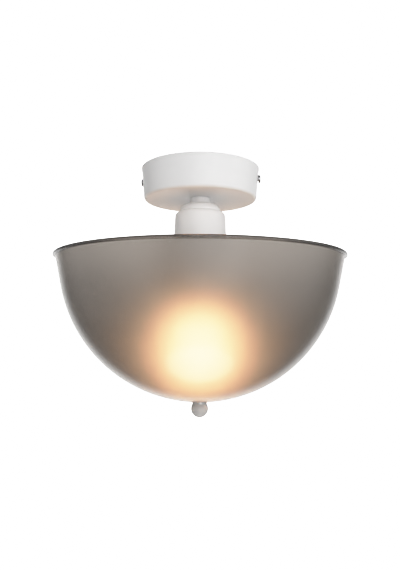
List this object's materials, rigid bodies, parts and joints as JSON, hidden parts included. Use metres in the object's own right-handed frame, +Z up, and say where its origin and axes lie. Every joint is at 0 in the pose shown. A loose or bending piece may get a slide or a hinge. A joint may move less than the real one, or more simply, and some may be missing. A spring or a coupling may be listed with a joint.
{
  "type": "ceiling light",
  "caption": "Semi-flush ceiling light with a round white canopy, a stepped lampholder cup and an open smoked frosted glass bowl held from below by a ball finial.",
  "frame": {"origin": "on the ceiling plane, on the lamp's axis, at the middle of the ceiling bracket's slot pattern", "axes": "+Z up into the ceiling along the lamp's axis, X along the bracket through the two side screws"},
  "size_m": [0.3021, 0.302, 0.2615],
  "materials": {
    "white_paint": "satin white powder coat",
    "smoked_glass": "smoked, frosted inside, clear lip",
    "finial_paint": "satin pale grey lacquer",
    "zinc_steel": "bright zinc plate",
    "screw_nickel": "nickel plate, darkened in its recess",
    "brass": "turned and pressed brass",
    "holder_plastic": "moulded white thermoset",
    "block_plastic": "natural polypropylene",
    "insert_ceramic": "unglazed porcelain",
    "rubber": "black rubber",
    "nylon": "natural nylon",
    "live_brown": "brown wire insulation",
    "neutral_blue": "blue wire insulation",
    "earth_green": "green and yellow wire insulation",
    "bulb_opal": "opal, lit warm white",
    "bulb_white": "moulded white",
    "bulb_nickel": "nickel plated screw cap",
    "bulb_black": "black glass insulator",
    "board_aluminium": "white coated aluminium board"
  },
  "bodies": {
    "fixture": {"ceiling_bracket": "zinc_steel", "canopy": "white_paint", "canopy_side_screws": "screw_nickel", "terminal_block": "block_plastic", "terminal_tubes": "brass", "terminal_screws": "zinc_steel", "block_screws": "zinc_steel", "earth_tag": "brass", "earth_screw": "zinc_steel", "live_wire": "live_brown", "neutral_wire": "neutral_blue", "earth_wire": "earth_green", "threaded_tube": "zinc_steel", "tube_lock_washer": "zinc_steel", "tube_lock_nut": "zinc_steel", "stem_sleeve": "white_paint", "lamp_cup": "white_paint", "cup_lock_nut": "zinc_steel", "lampholder_cap": "holder_plastic", "lampholder_skirt": "holder_plastic", "lampholder_insert": "insert_ceramic", "lampholder_shell": "brass", "centre_contact": "brass", "lampholder_terminals": "brass", "terminal_clamp_screws": "zinc_steel", "shade_ring": "holder_plastic", "carrier_ring": "zinc_steel", "carrier_hoop": "zinc_steel", "hoop_nuts": "zinc_steel", "carrier_saddle": "zinc_steel", "carrier_stud": "zinc_steel"},
    "bulb": {"bulb_tip": "bulb_nickel", "bulb_insulator": "bulb_black", "bulb_screw_cap": "bulb_nickel", "bulb_housing": "bulb_white", "bulb_board": "board_aluminium", "bulb_diffuser": "bulb_opal"},
    "bowl": {"bowl": "smoked_glass", "bowl_washer": "rubber", "bowl_bush": "nylon"},
    "finial_carrier": {"finial_washer": "zinc_steel"},
    "finial": {"finial_ball": "finial_paint", "finial_insert": "brass"}
  },
  "joints": [
    {"name": "bowl_lower", "type": "slide", "parent": "fixture", "child": "bowl", "axis": [0, 0, -1], "range_m": [0, 0.165]},
    {"name": "finial_travel", "type": "slide", "parent": "bowl", "child": "finial_carrier", "axis": [0, 0, -1], "range_m": [0, 0.012]},
    {"name": "finial_turn", "type": "hinge", "parent": "finial_carrier", "child": "finial", "pos_m": [0, 0, -0.2525], "axis": [0, 0, -1], "range_deg": [0, 4320]},
    {"name": "bulb_turn", "type": "hinge", "parent": "fixture", "child": "bulb", "pos_m": [0, 0, -0.1201], "axis": [0, 0, -1], "range_deg": [0, 1440]}
  ],
  "couplings": [
    {"joint": "finial_travel", "follows": "finial_turn", "m_per_rad": 0.00015915}
  ]
}
